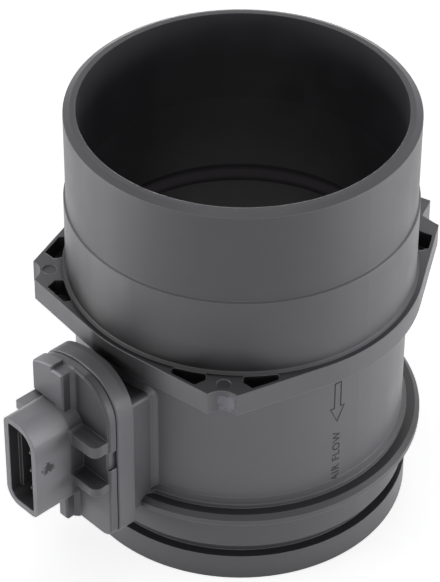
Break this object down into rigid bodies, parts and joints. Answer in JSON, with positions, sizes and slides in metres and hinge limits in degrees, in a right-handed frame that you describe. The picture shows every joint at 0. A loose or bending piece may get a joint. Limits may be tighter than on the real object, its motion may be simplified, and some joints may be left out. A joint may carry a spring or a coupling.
{
  "type": "mass airflow sensor",
  "caption": "Black plastic flow tube with a notched mounting flange, hose spigots at both ends and a side sensor head with a plug shroud; its probe measures the air drawn through.",
  "frame": {"origin": "on the tube's axis in the plane of its outlet end, which it stands on", "axes": "+Z along the tube's axis, against the air flow, from the outlet end to the inlet end; -Y from the axis towards the sensor head"},
  "size_m": [0.0954, 0.126, 0.1177],
  "materials": {
    "tube_plastic": "black moulded, glass-filled, satin",
    "cover_plastic": "black moulded, satin",
    "probe_plastic": "black moulded",
    "seal_rubber": "matt",
    "carrier_ceramic": "matt white ceramic",
    "film_metal": "thin metal film",
    "pin_metal": "tin plated",
    "bead_glass": "dark glassy coating",
    "board_laminate": "green solder mask",
    "chip_plastic": "moulded package",
    "capacitor_ceramic": "ceramic",
    "gel": "soft potting gel"
  },
  "bodies": {
    "root": {"flow_tube": "tube_plastic", "connector_cover": "cover_plastic", "cover_seal": "seal_rubber", "probe_body": "probe_plastic", "probe_lid": "probe_plastic", "probe_gasket": "seal_rubber", "element_carrier": "carrier_ceramic", "hot_film_element": "film_metal", "sensor_leads": "pin_metal", "thermistor_bead": "bead_glass", "thermistor_leads": "pin_metal", "circuit_board": "board_laminate", "signal_chip": "chip_plastic", "chip_capacitors": "capacitor_ceramic", "protective_gel": "gel", "terminal_pin_1": "pin_metal", "terminal_pin_2": "pin_metal", "terminal_pin_3": "pin_metal", "terminal_pin_4": "pin_metal"}
  },
  "joints": []
}
